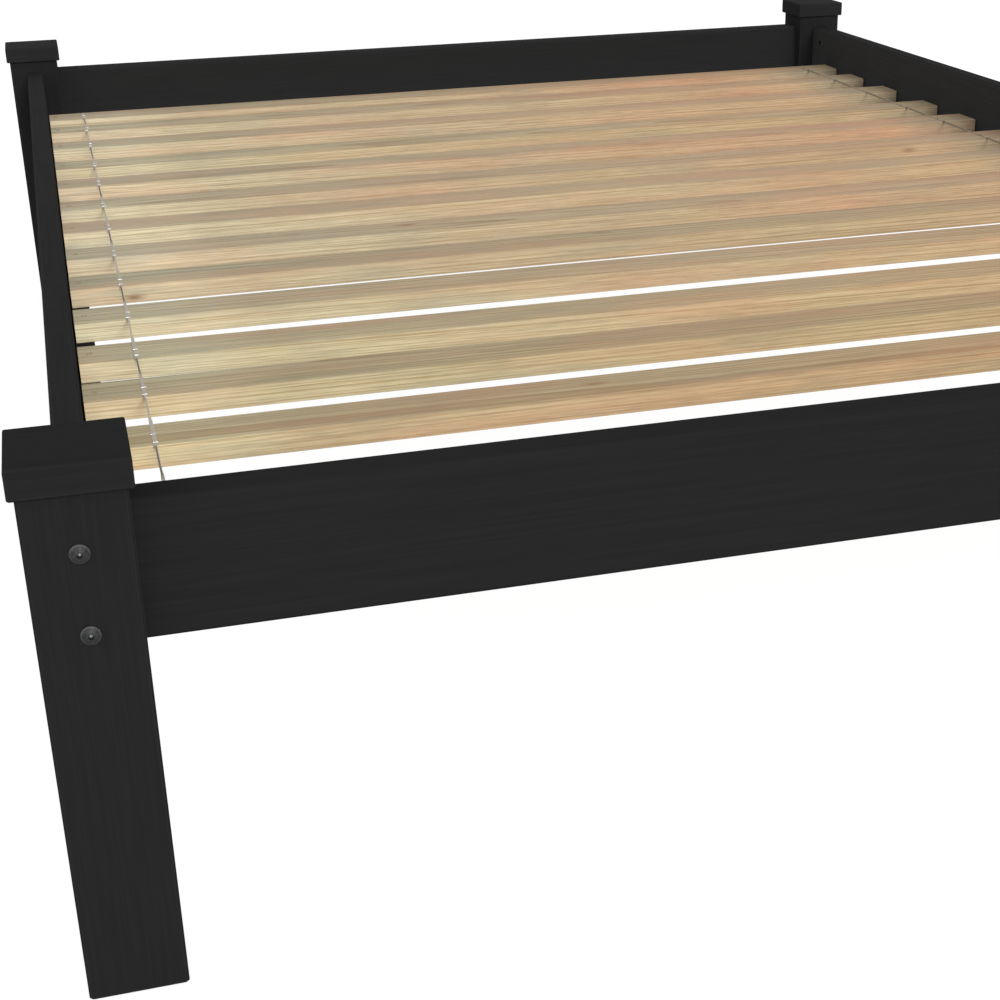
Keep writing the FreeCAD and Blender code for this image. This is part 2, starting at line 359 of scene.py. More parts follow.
def painted(name, stretch, painted_light_lifts=()):
    """Dull black paint. stretch scales the pattern along X, Y and Z: the grain runs where it is small.

    The last argument lists painted light: where the paint is made lighter, by axis, start, end and factor.
    """
    material, tree, shader = new_material(name)
    shader.inputs["Specular IOR Level"].default_value = PAINT_SPECULAR
    place = (add(tree, "ShaderNodeTexCoord"), "Object")
    grain = noise(tree, stretched(tree, place, stretch), detail=3.0, roughness=0.6)
    peel = noise(tree, place, PEEL_FINE)
    patches = noise(tree, place, PATCHES_COARSE, detail=4.0, roughness=0.65)
    feed(tree, span(tree, patches, 0.0, 1.0, *PAINT_ROUGHNESS), shader, "Roughness")
    black = ramp(tree, grain, PAINT_STOPS)
    bed_parts = split(tree, place)
    # Painted light: the paint is made lighter where the lamps reach it less.
    for axis, none_at, full_at, factor in painted_light_lifts:
        black = tinted(tree, span(tree, (bed_parts, axis), none_at, full_at), black, (factor,) * 3)

    # Painted highlight: where the bevelled normal turns from the true one, along the arrises, the paint is
    # made lighter in patches.
    soft = add(tree, "ShaderNodeBevel", {"Radius": ARRIS_REACH}, samples=4)
    true = add(tree, "ShaderNodeNewGeometry")
    agree = add(tree, "ShaderNodeVectorMath", operation="DOT_PRODUCT")
    join(tree, soft, "Normal", agree, 0)
    join(tree, true, "Normal", agree, 1)
    edge = span(tree, (agree, "Value"), **ARRIS_HIGHLIGHT_WHERE)
    arris_highlight = math_node(tree, "MULTIPLY", edge, patches)
    feed(tree, mix_colour(tree, arris_highlight, black, PAINT_ARRIS_HIGHLIGHT), shader, "Base Color")
    relief = math_node(tree, "MULTIPLY_ADD", peel, PEEL_SHARE, grain)
    bumped(tree, shader, relief, strength=0.2, distance=PAINT_RELIEF)
    return material


paint_up = painted("black_paint_posts", (GRAIN_FINE, GRAIN_FINE, GRAIN_ALONG))
# Painted light on the far end rail.
paint_across = painted("black_paint_end_rails", (GRAIN_ALONG, GRAIN_FINE, GRAIN_FINE),
                       [("Y", 0.0, 0.5, FAR_END_PAINTED_LIGHT)])
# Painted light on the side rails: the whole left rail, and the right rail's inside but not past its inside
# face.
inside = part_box("side_rail_right")[0].x
paint_along = painted("black_paint_side_rails", (GRAIN_FINE, GRAIN_ALONG, GRAIN_FINE), [
    ("X", 0.0, -0.1, LEFT_RAIL_PAINTED_LIGHT),
    ("X", 0.0, 0.1, RIGHT_INSIDE_PAINTED_LIGHT),
    ("X", inside + 0.3 * MM, inside + 1.0 * MM, 1.0 / RIGHT_INSIDE_PAINTED_LIGHT),
])

# %% [markdown]
# ## Bare pine
#
# Each slat is sawn from a log, so its grain is a slice through rings that lie round a heart somewhere
# outside the slat. The pattern is therefore solid, not painted on: the distance from a heart line that
# differs for each slat gives the rings, and the tops, front edges and ends all agree with each other. The
# slats carry two attributes for this: where a point is on its own slat, and the number of its slat, from
# which the shader draws its chances.
#
# On top of the rings come fine fibres, broken darker lines and a few small knots. The slats also change
# colour along their length: pale yellow at the left end, pinker to the right, and olive grey and darker
# over the last hand's breadth. The paleness towards the left end is painted light, strongest at the slat
# ends that the left rail shades. The tops are painted darker than the edges, a painted shade for light
# that falls more on the edges, and the place on the slat tells the shader which is which. Next to the near
# left post, the front of the first slat is painted palest of all, painted light against the post's shade.

# %% Pine
RING_WIDTH = 3.0 * MM
RING_DRIFT_SCALE, RING_DRIFT = 0.35, 2.6
HEART_Y, HEART_Z = (-0.045, 0.045), (0.018, 0.088)
GRAIN_LEAN = 0.010
WAVER = 10.0 * MM
SLAT_APART = 7.0
# Noises drawn out along a slat: their scale along, across and through it, their detail and roughness.
STREAKS = {
    "wander": ((1.3, 14.0, 14.0), 2.0, 0.55),
    "fibres": ((28.0, 680.0, 680.0), 2.0, 0.70),
    "lines": ((7.0, 420.0, 420.0), 2.0, 0.60),
    "drift": ((3.0, 20.0, 20.0), 1.5, 0.55),
    "blotch": ((7.0, 46.0, 46.0), 2.0, 0.55),
}
EARLY_WOOD = (0.546, 0.495, 0.327)
LATE_WOOD = (0.369, 0.292, 0.169)
PINK_WOOD = (0.551, 0.385, 0.250)
GREY_WOOD = (0.400, 0.380, 0.272)
PINK_WHERE = {"low": 0.45, "high": 0.66, "most": 0.65}
GREY_WHERE = {"low": 0.48, "high": 0.70, "most": 0.60}
RING_STOPS = [(0.0, 0.08), (0.10, 0.0), (0.50, 0.06), (0.84, 0.80), (0.94, 0.90), (1.0, 0.08)]
FIBRE_STOPS = [(0.25, 0.82), (0.75, 1.18)]
LINE_STOPS = [(0.30, (0.88, 0.84, 0.80)), (0.50, (1.0, 1.0, 1.0)), (0.72, (1.07, 1.07, 1.06))]
SLAT_HUES, SLAT_VALUES = (0.494, 0.506), (0.95, 1.05)
KNOT_COLOUR = (0.27, 0.15, 0.075)
KNOT_SCALE, KNOTS_ABOVE = (7.0, 22.0, 22.0), 0.72
KNOT_STOPS = [(0.05, 0.85), (0.08, 0.40), (0.13, 0.0)]
# Each tint of the bed as a whole: the axis along which it grows, where it starts, where it is full, and
# its colour. First pinker to the right, then three of painted light that get paler to the left end,
# strongest where the left rail shades the slat ends, then yellower near by.
BED_TINTS_AND_PAINTED_LIGHT = (
    ("X", -0.60, 0.45, (1.03, 0.825, 0.75)),
    ("X", -0.05, -0.46, (1.09, 1.07, 1.08)),
    ("X", -0.50, -0.64, (1.33, 1.35, 1.39)),
    ("X", -0.64, -0.69, (1.24, 1.24, 1.24)),
    ("Y", -0.30, -0.75, (0.99, 0.96, 0.85)),
)
# Painted light on the front of the first slat by the near left post, against the shade the post casts.
CORNER_X, CORNER_Y, CORNER_PAINTED_LIGHT = (-0.50, -0.64), (-0.64, -0.68), (1.20, 1.15, 1.10)
RIGHT_END_FROM, RIGHT_END_FADE, RIGHT_END_RAGGED, RIGHT_END_TINT = 0.575, 0.08, 0.06, (0.745, 0.85, 0.93)
# Painted shade: the slat tops are made darker than their edges, most towards the left.
TOP_SHADE_X, TOP_PAINTED_SHADE = (-0.60, 0.10), ((0.665, 0.660, 0.670), (0.84, 0.815, 0.80))
TOP_EDGE = (1.2 * MM, 0.6 * MM)
WOOD_ROUGHNESS, WOOD_SPECULAR = [(0.3, 0.60), (0.7, 0.74)], 0.12
RING_SHARE = 0.5
WOOD_RELIEF = 0.3 * MM


def growth_rings(tree, parts, chances, wander):
    """Rings round a heart line that each slat has in another place, dark where the wood is late."""
    lean = span(tree, (chances, "Blue"), least=-GRAIN_LEAN, most=GRAIN_LEAN)
    run_out = math_node(tree, "MULTIPLY", (parts, "X"), lean)
    waver = math_node(tree, "MULTIPLY_ADD", wander, WAVER, run_out)
    across = []
    for axis, colour, (low, high) in (("Y", "Red", HEART_Y), ("Z", "Green", HEART_Z)):
        heart = span(tree, (chances, colour), least=low, most=high)
        across.append(math_node(tree, "ADD", math_node(tree, "ADD", (parts, axis), heart), waver))
    count = math_node(tree, "DIVIDE", far_from_axis(tree, *across), RING_WIDTH)
    age = math_node(tree, "MULTIPLY_ADD", noise(tree, count, RING_DRIFT_SCALE), RING_DRIFT, count)
    return ramp(tree, math_node(tree, "FRACT", age), RING_STOPS, "EASE")


def bed_colours(tree, wood, blotch, parts, half_thick):
    """The wood's colour over the bed and at its right ends, with painted light at the left end and by the
    near post, and painted shade on the tops.
    """
    bed_parts = split(tree, (add(tree, "ShaderNodeTexCoord"), "Object"))
    # Bed tints, among them painted light that makes the slats paler towards the left end.
    for axis, none_at, full_at, tint in BED_TINTS_AND_PAINTED_LIGHT:
        wood = tinted(tree, span(tree, (bed_parts, axis), none_at, full_at), wood, tint)
    # Olive grey and darker at the right ends of the slats, with a ragged edge.
    ragged = math_node(tree, "MULTIPLY_ADD", blotch, RIGHT_END_RAGGED, (bed_parts, "X"))
    wood = tinted(tree, span(tree, ragged, RIGHT_END_FROM, RIGHT_END_FROM + RIGHT_END_FADE), wood, RIGHT_END_TINT)
    # Painted light: the edges of the first slat by the near left post are made paler.
    corner = math_node(tree, "MULTIPLY", span(tree, (bed_parts, "X"), *CORNER_X),
                       span(tree, (bed_parts, "Y"), *CORNER_Y))
    edge_wood = tinted(tree, corner, wood, CORNER_PAINTED_LIGHT)
    # Painted shade: the tops are made darker than the edges.
    shaded_top_wood = times(tree, wood, mix_colour(tree, span(tree, (bed_parts, "X"), *TOP_SHADE_X), *TOP_PAINTED_SHADE))
    on_top = span(tree, (parts, "Z"), *(half_thick - depth for depth in TOP_EDGE))
    return mix_colour(tree, on_top, edge_wood, shaded_top_wood)


def knotted(tree, wood, place):
    """The wood with a few small knots in it."""
    knot = add(tree, "ShaderNodeTexVoronoi", {"Scale": 1.0})
    feed(tree, stretched(tree, place, KNOT_SCALE), knot, "Vector")
    pick = add(tree, "ShaderNodeSeparateColor")
    join(tree, knot, "Color", pick, "Color")
    chosen = math_node(tree, "GREATER_THAN", (pick, "Red"), KNOTS_ABOVE)
    knotty = math_node(tree, "MULTIPLY", ramp(tree, (knot, "Distance"), KNOT_STOPS), chosen)
    return mix_colour(tree, knotty, wood, KNOT_COLOUR)


def bare_pine(name, half_thick):
    """Planed pine, every slat of it different."""
    material, tree, shader = new_material(name)
    spot = (add(tree, "ShaderNodeAttribute", attribute_name="slat_place"), "Vector")
    slat = add(tree, "ShaderNodeAttribute", attribute_name="slat_number")
    chance = add(tree, "ShaderNodeTexWhiteNoise", noise_dimensions="1D")
    join(tree, slat, "Fac", chance, "W")
    chances = add(tree, "ShaderNodeSeparateColor")
    join(tree, chance, "Color", chances, "Color")
    far = add(tree, "ShaderNodeVectorMath", {"Scale": SLAT_APART}, operation="SCALE")
    join(tree, chance, "Color", far, "Vector")
    apart = add(tree, "ShaderNodeVectorMath", operation="ADD")
    feed(tree, spot, apart, 0)
    join(tree, far, "Vector", apart, 1)
    away = (apart, "Vector")
    streaks = {kind: noise(tree, stretched(tree, away, scale), 1.0, detail, roughness)
               for kind, (scale, detail, roughness) in STREAKS.items()}
    fibres, blotch = streaks["fibres"], streaks["blotch"]

    parts = split(tree, spot)
    ring = growth_rings(tree, parts, chances, streaks["wander"])
    wood = mix_colour(tree, ring, EARLY_WOOD, LATE_WOOD)
    wood = mix_colour(tree, span(tree, streaks["drift"], **PINK_WHERE), wood, PINK_WOOD)
    wood = mix_colour(tree, span(tree, blotch, **GREY_WHERE), wood, GREY_WOOD)
    wood = times(tree, wood, ramp(tree, fibres, FIBRE_STOPS))
    wood = times(tree, wood, ramp(tree, streaks["lines"], LINE_STOPS))
    wood = bed_colours(tree, wood, blotch, parts, half_thick)
    shade = add(tree, "ShaderNodeHueSaturation")
    feed(tree, wood, shade, "Color")
    feed(tree, span(tree, (chances, "Green"), 0.0, 1.0, *SLAT_HUES), shade, "Hue")
    feed(tree, span(tree, (chances, "Red"), 0.0, 1.0, *SLAT_VALUES), shade, "Value")
    feed(tree, knotted(tree, (shade, "Color"), away), shader, "Base Color")

    feed(tree, ramp(tree, fibres, WOOD_ROUGHNESS), shader, "Roughness")
    shader.inputs["Specular IOR Level"].default_value = WOOD_SPECULAR
    relief = math_node(tree, "MULTIPLY_ADD", ring, RING_SHARE, fibres)
    bumped(tree, shader, relief, strength=0.35, distance=WOOD_RELIEF)
    return material


low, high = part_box("slat_01")
pine = bare_pine("bare_pine", (high.z - low.z) / 2)

# %% [markdown]
# ## Metals and tape
#
# The wood screws are yellow zinc, and the staples and barrel nuts plain zinc. All three are the same
# recipe with other numbers, and the staples at the right-hand end are browner. The bolts are blackened,
# mottled by handling, with a paler rim, and their sockets are painted bright, a painted highlight where
# light catches in them. The rim and the socket are rings round each bolt's axis, so the recipe works out
# how far a point is from the nearest axis. All eight axes stand at the same distance from the bed's
# middle, at two heights, so folding the coordinates makes one bolt serve for all. The tapes are a coarse
# weave, grey on the left and browner on the right, that follows a tape's own length and width, so it reads
# the UV map made with the tape. The right one is also darker, partly painted shade for the side it turns
# from the light.

# %% Metals and tape
NUT_ZINC, NUT_ROUGHNESS = (0.30, 0.30, 0.31), 0.42
SCREW_ZINC, SCREW_ROUGHNESS = (0.42, 0.35, 0.20), 0.50
STAPLE_STEEL, STAPLE_ROUGHNESS, STAPLE_BROWN = (0.78, 0.78, 0.79), 0.32, (0.22, 0.18, 0.14)
METAL_RIGHT_END_FADE = 50.0 * MM
METAL_PATCHES, METAL_SCRATCHES, ROUGHNESS_SPREAD = 260.0, 1500.0, (0.10, 0.15)
METAL_RELIEF = 0.1 * MM


def metal(name, colour, roughness, wear=0.35, dulled=None):
    """Plated steel with a patchy sheen and fine scratches. dulled is its colour at the right-hand end."""
    material, tree, shader = new_material(name)
    shader.inputs["Metallic"].default_value = 1.0
    place = (add(tree, "ShaderNodeTexCoord"), "Object")
    patches = noise(tree, place, METAL_PATCHES, detail=5.0, roughness=0.7)
    dark = tuple(c * (1 - wear) for c in colour)
    light = tuple(min(1.0, c * (1 + wear)) for c in colour)
    final = ramp(tree, patches, [(0.30, dark), (0.70, light)])
    if dulled:
        at_right_end = span(tree, (split(tree, place), "X"), RIGHT_END_FROM, RIGHT_END_FROM + METAL_RIGHT_END_FADE)
        final = mix_colour(tree, at_right_end, final, dulled)
    feed(tree, final, shader, "Base Color")
    less, more = ROUGHNESS_SPREAD
    rough = ramp(tree, patches, [(0.25, roughness - less), (0.75, roughness + more)])
    feed(tree, rough, shader, "Roughness")
    bumped(tree, shader, noise(tree, place, METAL_SCRATCHES), strength=0.25, distance=METAL_RELIEF)
    return material


BOLT_BLACK, BOLT_WORN = (0.020, 0.021, 0.024), (0.085, 0.086, 0.085)
BOLT_RIM, BOLT_SOCKET_HIGHLIGHT = (0.17, 0.17, 0.17), (0.36, 0.36, 0.35)
BOLT_STOPS = [(0.36, BOLT_BLACK), (0.68, BOLT_WORN)]
BOLT_SHEEN = [(0.25, 0.48), (0.75, 0.72)]
BOLT_PATCHES = 900.0
BOLT_HEAD_RADIUS = 7.15 * MM
RIM_SHARES, RIM_MOST = (0.80, 0.95), 0.75
SOCKET_REACH, SOCKET_SHARE = 1.1 * MM, 0.8


def blackened_bolts(name, head_boxes):
    """Blackened steel with a mottled face, a paler rim, and a painted highlight in the socket round each
    bolt's axis.
    """
    low, high = head_boxes
    material, tree, shader = new_material(name)
    shader.inputs["Metallic"].default_value = 1.0
    radius = BOLT_HEAD_RADIUS
    axis_low, axis_high = low.z + radius, high.z - radius
    place = (add(tree, "ShaderNodeTexCoord"), "Object")
    parts = split(tree, place)
    fold_x = math_node(tree, "SUBTRACT", math_node(tree, "ABSOLUTE", (parts, "X")), high.x - radius)
    fold_z = math_node(tree, "SUBTRACT", (parts, "Z"), (axis_low + axis_high) / 2)
    fold_z = math_node(tree, "SUBTRACT", math_node(tree, "ABSOLUTE", fold_z), (axis_high - axis_low) / 2)
    out = far_from_axis(tree, fold_x, fold_z)
    patches = noise(tree, place, BOLT_PATCHES, detail=4.0, roughness=0.8)
    face = ramp(tree, patches, BOLT_STOPS)
    near_rim = span(tree, out, *(radius * share for share in RIM_SHARES), most=RIM_MOST)
    face = mix_colour(tree, math_node(tree, "MULTIPLY", near_rim, patches), face, BOLT_RIM)
    # Painted highlight: the socket is painted bright where light catches in it.
    socket_highlight = span(tree, out, SOCKET_REACH, SOCKET_REACH * SOCKET_SHARE)
    face = mix_colour(tree, socket_highlight, face, BOLT_SOCKET_HIGHLIGHT)
    feed(tree, face, shader, "Base Color")
    feed(tree, ramp(tree, patches, BOLT_SHEEN), shader, "Roughness")
    bumped(tree, shader, patches, strength=0.3, distance=METAL_RELIEF)
    return material


bolt_steel = blackened_bolts("bolt_blackened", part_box("bolts_foot"))
nut_zinc = metal("nut_dull_zinc", NUT_ZINC, NUT_ROUGHNESS)
screw_zinc = metal("screw_yellow_zinc", SCREW_ZINC, SCREW_ROUGHNESS)
staple_wire = metal("staple_bright_wire", STAPLE_STEEL, STAPLE_ROUGHNESS, wear=0.12, dulled=STAPLE_BROWN)

TAPE_COLOUR, TAPE_SHADE = (0.70, 0.65, 0.56), (0.44, 0.405, 0.35)
# The right tape's colours are browner and darker: partly their own colour, partly painted shade for the
# side turned from the light.
SHADED_DARK_TAPE_COLOUR, SHADED_DARK_TAPE_SHADE = (0.36, 0.305, 0.23), (0.25, 0.21, 0.155)
TAPE_STOPS = (0.15, 0.75)
WEAVE_SCALE, WEAVE_DISTORTION, FUZZ_SCALE, FUZZ_SHARE = 45.0, 0.3, 1200.0, 0.4
TAPE_ROUGHNESS, TAPE_SPECULAR = 0.85, 0.1
TAPE_RELIEF = 0.2 * MM


def woven_tape(name, colour, shade):
    """A plain weave: threads along and across, each crossing a little hill."""
    material, tree, shader = new_material(name)
    place = add(tree, "ShaderNodeTexCoord")
    threads = []
    for direction in "XY":
        settings = {"Scale": WEAVE_SCALE, "Distortion": WEAVE_DISTORTION}
        thread = add(tree, "ShaderNodeTexWave", settings, bands_direction=direction)
        join(tree, place, "UV", thread, "Vector")
        threads.append((thread, "Fac"))
    fuzz = noise(tree, (place, "Object"), FUZZ_SCALE, detail=3.0)
    height = math_node(tree, "MULTIPLY_ADD", fuzz, FUZZ_SHARE, math_node(tree, "MULTIPLY", *threads))
    feed(tree, ramp(tree, height, list(zip(TAPE_STOPS, (shade, colour)))), shader, "Base Color")
    shader.inputs["Roughness"].default_value = TAPE_ROUGHNESS
    shader.inputs["Specular IOR Level"].default_value = TAPE_SPECULAR
    bumped(tree, shader, height, strength=0.6, distance=TAPE_RELIEF)
    return material


tape_weaves = {
    "left": woven_tape("grey_tape_weave", TAPE_COLOUR, TAPE_SHADE),
    # The right tape's weave is partly painted shade.
    "right": woven_tape("brown_tape_weave", SHADED_DARK_TAPE_COLOUR, SHADED_DARK_TAPE_SHADE),
}

# %% [markdown]
# ## Slats
#
# The thirteen slats are one profile, a rectangle with its corners rounded, pushed along the slat's
# length. They are the natural job for Geometry Nodes: the tree builds one slat from named sizes, marks on
# it where each point is, and lays a copy on every point it is given. The points are the middles of the
# CAD slats, so each slat lies exactly where the frame says, uneven gaps included.
#
# Cheap slats are never quite straight. A second attribute gives each one its bow, the rise of its middle
# over its screwed ends, and the tree bends the copies with it once they are real. In the photograph the
# third slat sags and the fourth is crowned, which shows in the white gaps beside them.


# %% Geometry Nodes helpers
def new_tree(name, sizes):
    """A Geometry Nodes tree with a geometry input, these named inputs and a geometry output."""
    tree = bpy.data.node_groups.new(name, "GeometryNodeTree")
    tree.interface.new_socket("Geometry", in_out="INPUT", socket_type="NodeSocketGeometry")
    for label, kind in sizes:
        tree.interface.new_socket(label, in_out="INPUT", socket_type=kind)
    tree.interface.new_socket("Geometry", in_out="OUTPUT", socket_type="NodeSocketGeometry")
    return tree, tree.nodes.new("NodeGroupInput"), tree.nodes.new("NodeGroupOutput")


def marked_points(name, places, facings=None, bows=None):
    """An object of loose points, with the way each faces or how far it bows as an attribute."""
    mesh = bpy.data.meshes.new(name)
    mesh.from_pydata(places, [], [])
    if facings:
        attribute = mesh.attributes.new("facing", "FLOAT_VECTOR", "POINT")
        attribute.data.foreach_set("vector", [c for facing in facings for c in facing])
    if bows:
        mesh.attributes.new("bow", "FLOAT", "POINT").data.foreach_set("value", bows)
    piece = bpy.data.objects.new(name, mesh)
    scene.collection.objects.link(piece)
    return piece


def grow(piece, tree, values):
    """Runs a tree on an object and keeps the result as its plain mesh."""
    modifier = piece.modifiers.new("grow", "NODES")
    modifier.node_group = tree
    for item in tree.interface.items_tree:
        if item.item_type == "SOCKET" and item.in_out == "INPUT" and item.name in values:
            modifier[item.identifier] = values[item.name]
    bpy.context.view_layer.update()
    graph = bpy.context.evaluated_depsgraph_get()
    mesh = bpy.data.meshes.new_from_object(piece.evaluated_get(graph))
    piece.modifiers.clear()
    piece.data = mesh
    mesh.name = piece.name
    print(piece.name, len(mesh.polygons), "faces")
    return piece


# %% The slat tree
SLAT_ARRIS = 0.9 * MM
ARRIS_STEPS = 4
SLAT_STATIONS = 25
SLAT_BOWS = (0.4, -0.2, -1.5, 0.9, 0.5, -0.3, 0.2, -0.4, 0.3, 0.0, -0.3, 0.2, 0.1)
slat_names = sorted(name for name in nodes if name.startswith("slat_") and name[-1].isdigit())
slat_boxes = [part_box(name) for name in slat_names]
slat_size = slat_boxes[0][1] - slat_boxes[0][0]
slat_top = slat_boxes[0][1].z

slat_tree, sizes, result = new_tree("lay_slats", [
    ("Length", "NodeSocketFloat"),
    ("Width", "NodeSocketFloat"),
    ("Thickness", "NodeSocketFloat"),
    ("Arris", "NodeSocketFloat"),
    ("Wood", "NodeSocketMaterial"),
])
half = math_node(slat_tree, "MULTIPLY", (sizes, "Length"), 0.5)
line = add(slat_tree, "GeometryNodeCurvePrimitiveLine")
for socket, x in (("Start", math_node(slat_tree, "MULTIPLY", half, -1.0)), ("End", half)):
    point = add(slat_tree, "ShaderNodeCombineXYZ")
    feed(slat_tree, x, point, "X")
    join(slat_tree, point, "Vector", line, socket)
stations = add(slat_tree, "GeometryNodeResampleCurve", {"Count": SLAT_STATIONS})
join(slat_tree, line, "Curve", stations, "Curve")
outline = add(slat_tree, "GeometryNodeCurvePrimitiveQuadrilateral")
join(slat_tree, sizes, "Width", outline, "Width")
join(slat_tree, sizes, "Thickness", outline, "Height")
rounded = add(slat_tree, "GeometryNodeFilletCurve", {"Count": ARRIS_STEPS}, mode="POLY")
join(slat_tree, outline, "Curve", rounded, "Curve")
join(slat_tree, sizes, "Arris", rounded, "Radius")
board = add(slat_tree, "GeometryNodeCurveToMesh", {"Fill Caps": True})
join(slat_tree, stations, "Curve", board, "Curve")
join(slat_tree, rounded, "Curve", board, "Profile Curve")
here = add(slat_tree, "GeometryNodeInputPosition")
mark = add(slat_tree, "GeometryNodeStoreNamedAttribute", {"Name": "slat_place"},
           data_type="FLOAT_VECTOR", domain="POINT")
join(slat_tree, board, "Mesh", mark, "Geometry")
join(slat_tree, here, "Position", mark, "Value")
lay = add(slat_tree, "GeometryNodeInstanceOnPoints")
join(slat_tree, sizes, "Geometry", lay, "Points")
join(slat_tree, mark, "Geometry", lay, "Instance")
index = add(slat_tree, "GeometryNodeInputIndex")
number = add(slat_tree, "GeometryNodeStoreNamedAttribute", {"Name": "slat_number"},
             data_type="FLOAT", domain="INSTANCE")
join(slat_tree, lay, "Instances", number, "Geometry")
join(slat_tree, index, "Index", number, "Value")
real = add(slat_tree, "GeometryNodeRealizeInstances")
join(slat_tree, number, "Geometry", real, "Geometry")
where = add(slat_tree, "GeometryNodeInputNamedAttribute", {"Name": "slat_place"},
            data_type="FLOAT_VECTOR")
bow = add(slat_tree, "GeometryNodeInputNamedAttribute", {"Name": "bow"}, data_type="FLOAT")
share = math_node(slat_tree, "DIVIDE", (split(slat_tree, (where, "Attribute")), "X"), half)
shape = math_node(slat_tree, "SUBTRACT", 1.0, math_node(slat_tree, "MULTIPLY", share, share))
offset = add(slat_tree, "ShaderNodeCombineXYZ")
feed(slat_tree, math_node(slat_tree, "MULTIPLY", shape, (bow, "Attribute")), offset, "Z")
bent = add(slat_tree, "GeometryNodeSetPosition")
join(slat_tree, real, "Geometry", bent, "Geometry")
join(slat_tree, offset, "Vector", bent, "Offset")
finish = add(slat_tree, "GeometryNodeSetMaterial")
join(slat_tree, bent, "Geometry", finish, "Geometry")
join(slat_tree, sizes, "Wood", finish, "Material")
join(slat_tree, finish, "Geometry", result, "Geometry")

middles = [(low + high) / 2 for low, high in slat_boxes]
slats = marked_points("pine_slats", middles, bows=[rise * MM for rise in SLAT_BOWS])
grow(slats, slat_tree, {
    "Length": slat_size.x,
    "Width": slat_size.y,
    "Thickness": slat_size.z,
    "Arris": SLAT_ARRIS,
    "Wood": pine,
})
for axis in range(3):
    places = [vertex.co[axis] for vertex in slats.data.vertices]
    print("slats span", round(max(places) - min(places), 4), "m along", "XYZ"[axis])
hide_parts(*slat_names)
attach(slats, "root")

# %% [markdown]
# ## Screws and staples
#
# Small metal pieces repeat too, but each kind has its own shape, so one more tree does the placing for
# all of them: it takes any piece as an input and sets a copy on each marked point, facing the way that
# the point says and turned by chance about its own axis, as hands and machines leave them.

# %% The tree that sets pieces on points
setting_tree, sizes, result = new_tree("set_on_points", [
    ("Piece", "NodeSocketObject"),
    ("Spin", "NodeSocketFloat"),
    ("Seed", "NodeSocketInt"),
    ("Finish", "NodeSocketMaterial"),
])
source = add(setting_tree, "GeometryNodeObjectInfo")
join(setting_tree, sizes, "Piece", source, "Object")
facing = add(setting_tree, "GeometryNodeInputNamedAttribute", {"Name": "facing"},
             data_type="FLOAT_VECTOR")
aim = add(setting_tree, "FunctionNodeEulerToRotation")
join(setting_tree, facing, "Attribute", aim, "Euler")
chance = add(setting_tree, "FunctionNodeRandomValue", data_type="FLOAT")
feed(setting_tree, math_node(setting_tree, "MULTIPLY", (sizes, "Spin"), -1.0), chance, 2)
join(setting_tree, sizes, "Spin", chance, 3)
join(setting_tree, sizes, "Seed", chance, "Seed")
spin = add(setting_tree, "FunctionNodeAxisAngleToRotation", {"Axis": (0.0, 0.0, 1.0)})
join(setting_tree, chance, 1, spin, "Angle")
turned = add(setting_tree, "FunctionNodeRotateRotation", rotation_space="LOCAL")
join(setting_tree, aim, "Rotation", turned, "Rotation")
join(setting_tree, spin, "Rotation", turned, "Rotate By")
place = add(setting_tree, "GeometryNodeInstanceOnPoints")
join(setting_tree, sizes, "Geometry", place, "Points")
join(setting_tree, source, "Geometry", place, "Instance")
join(setting_tree, turned, "Rotation", place, "Rotation")
real = add(setting_tree, "GeometryNodeRealizeInstances")
join(setting_tree, place, "Instances", real, "Geometry")
finish = add(setting_tree, "GeometryNodeSetMaterial")
join(setting_tree, real, "Geometry", finish, "Geometry")
join(setting_tree, sizes, "Finish", finish, "Material")
join(setting_tree, finish, "Geometry", result, "Geometry")


def set_pieces(name, pattern, marks, finish, spin=math.pi, seed=1):
    """Copies of a pattern piece on (place, facing) marks, as one mesh that rides on the bed."""
    piece = marked_points(name, [m[0] for m in marks], [m[1] for m in marks])
    grow(piece, setting_tree, {"Piece": pattern, "Spin": spin, "Seed": seed, "Finish": finish})
    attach(piece, "root")
    return piece


# %% [markdown]
# ### A countersunk screw head
#
# Only the head of a wood screw shows: a flat disc with a cross cut into it, on a cone. The disc and the
# walls of the cross are made as a filled outline and a ring of walls.


# %% Screw head
HEAD_RADIUS, HEAD_DEPTH = 3.5 * MM, 2.6 * MM
CROSS_LENGTH, CROSS_WIDTH, CROSS_DEPTH = 4.2 * MM, 1.0 * MM, 1.2 * MM
HEAD_SIDES = 24
SHANK_SHARE, CROSS_BED_SHARE = 0.5, 0.75


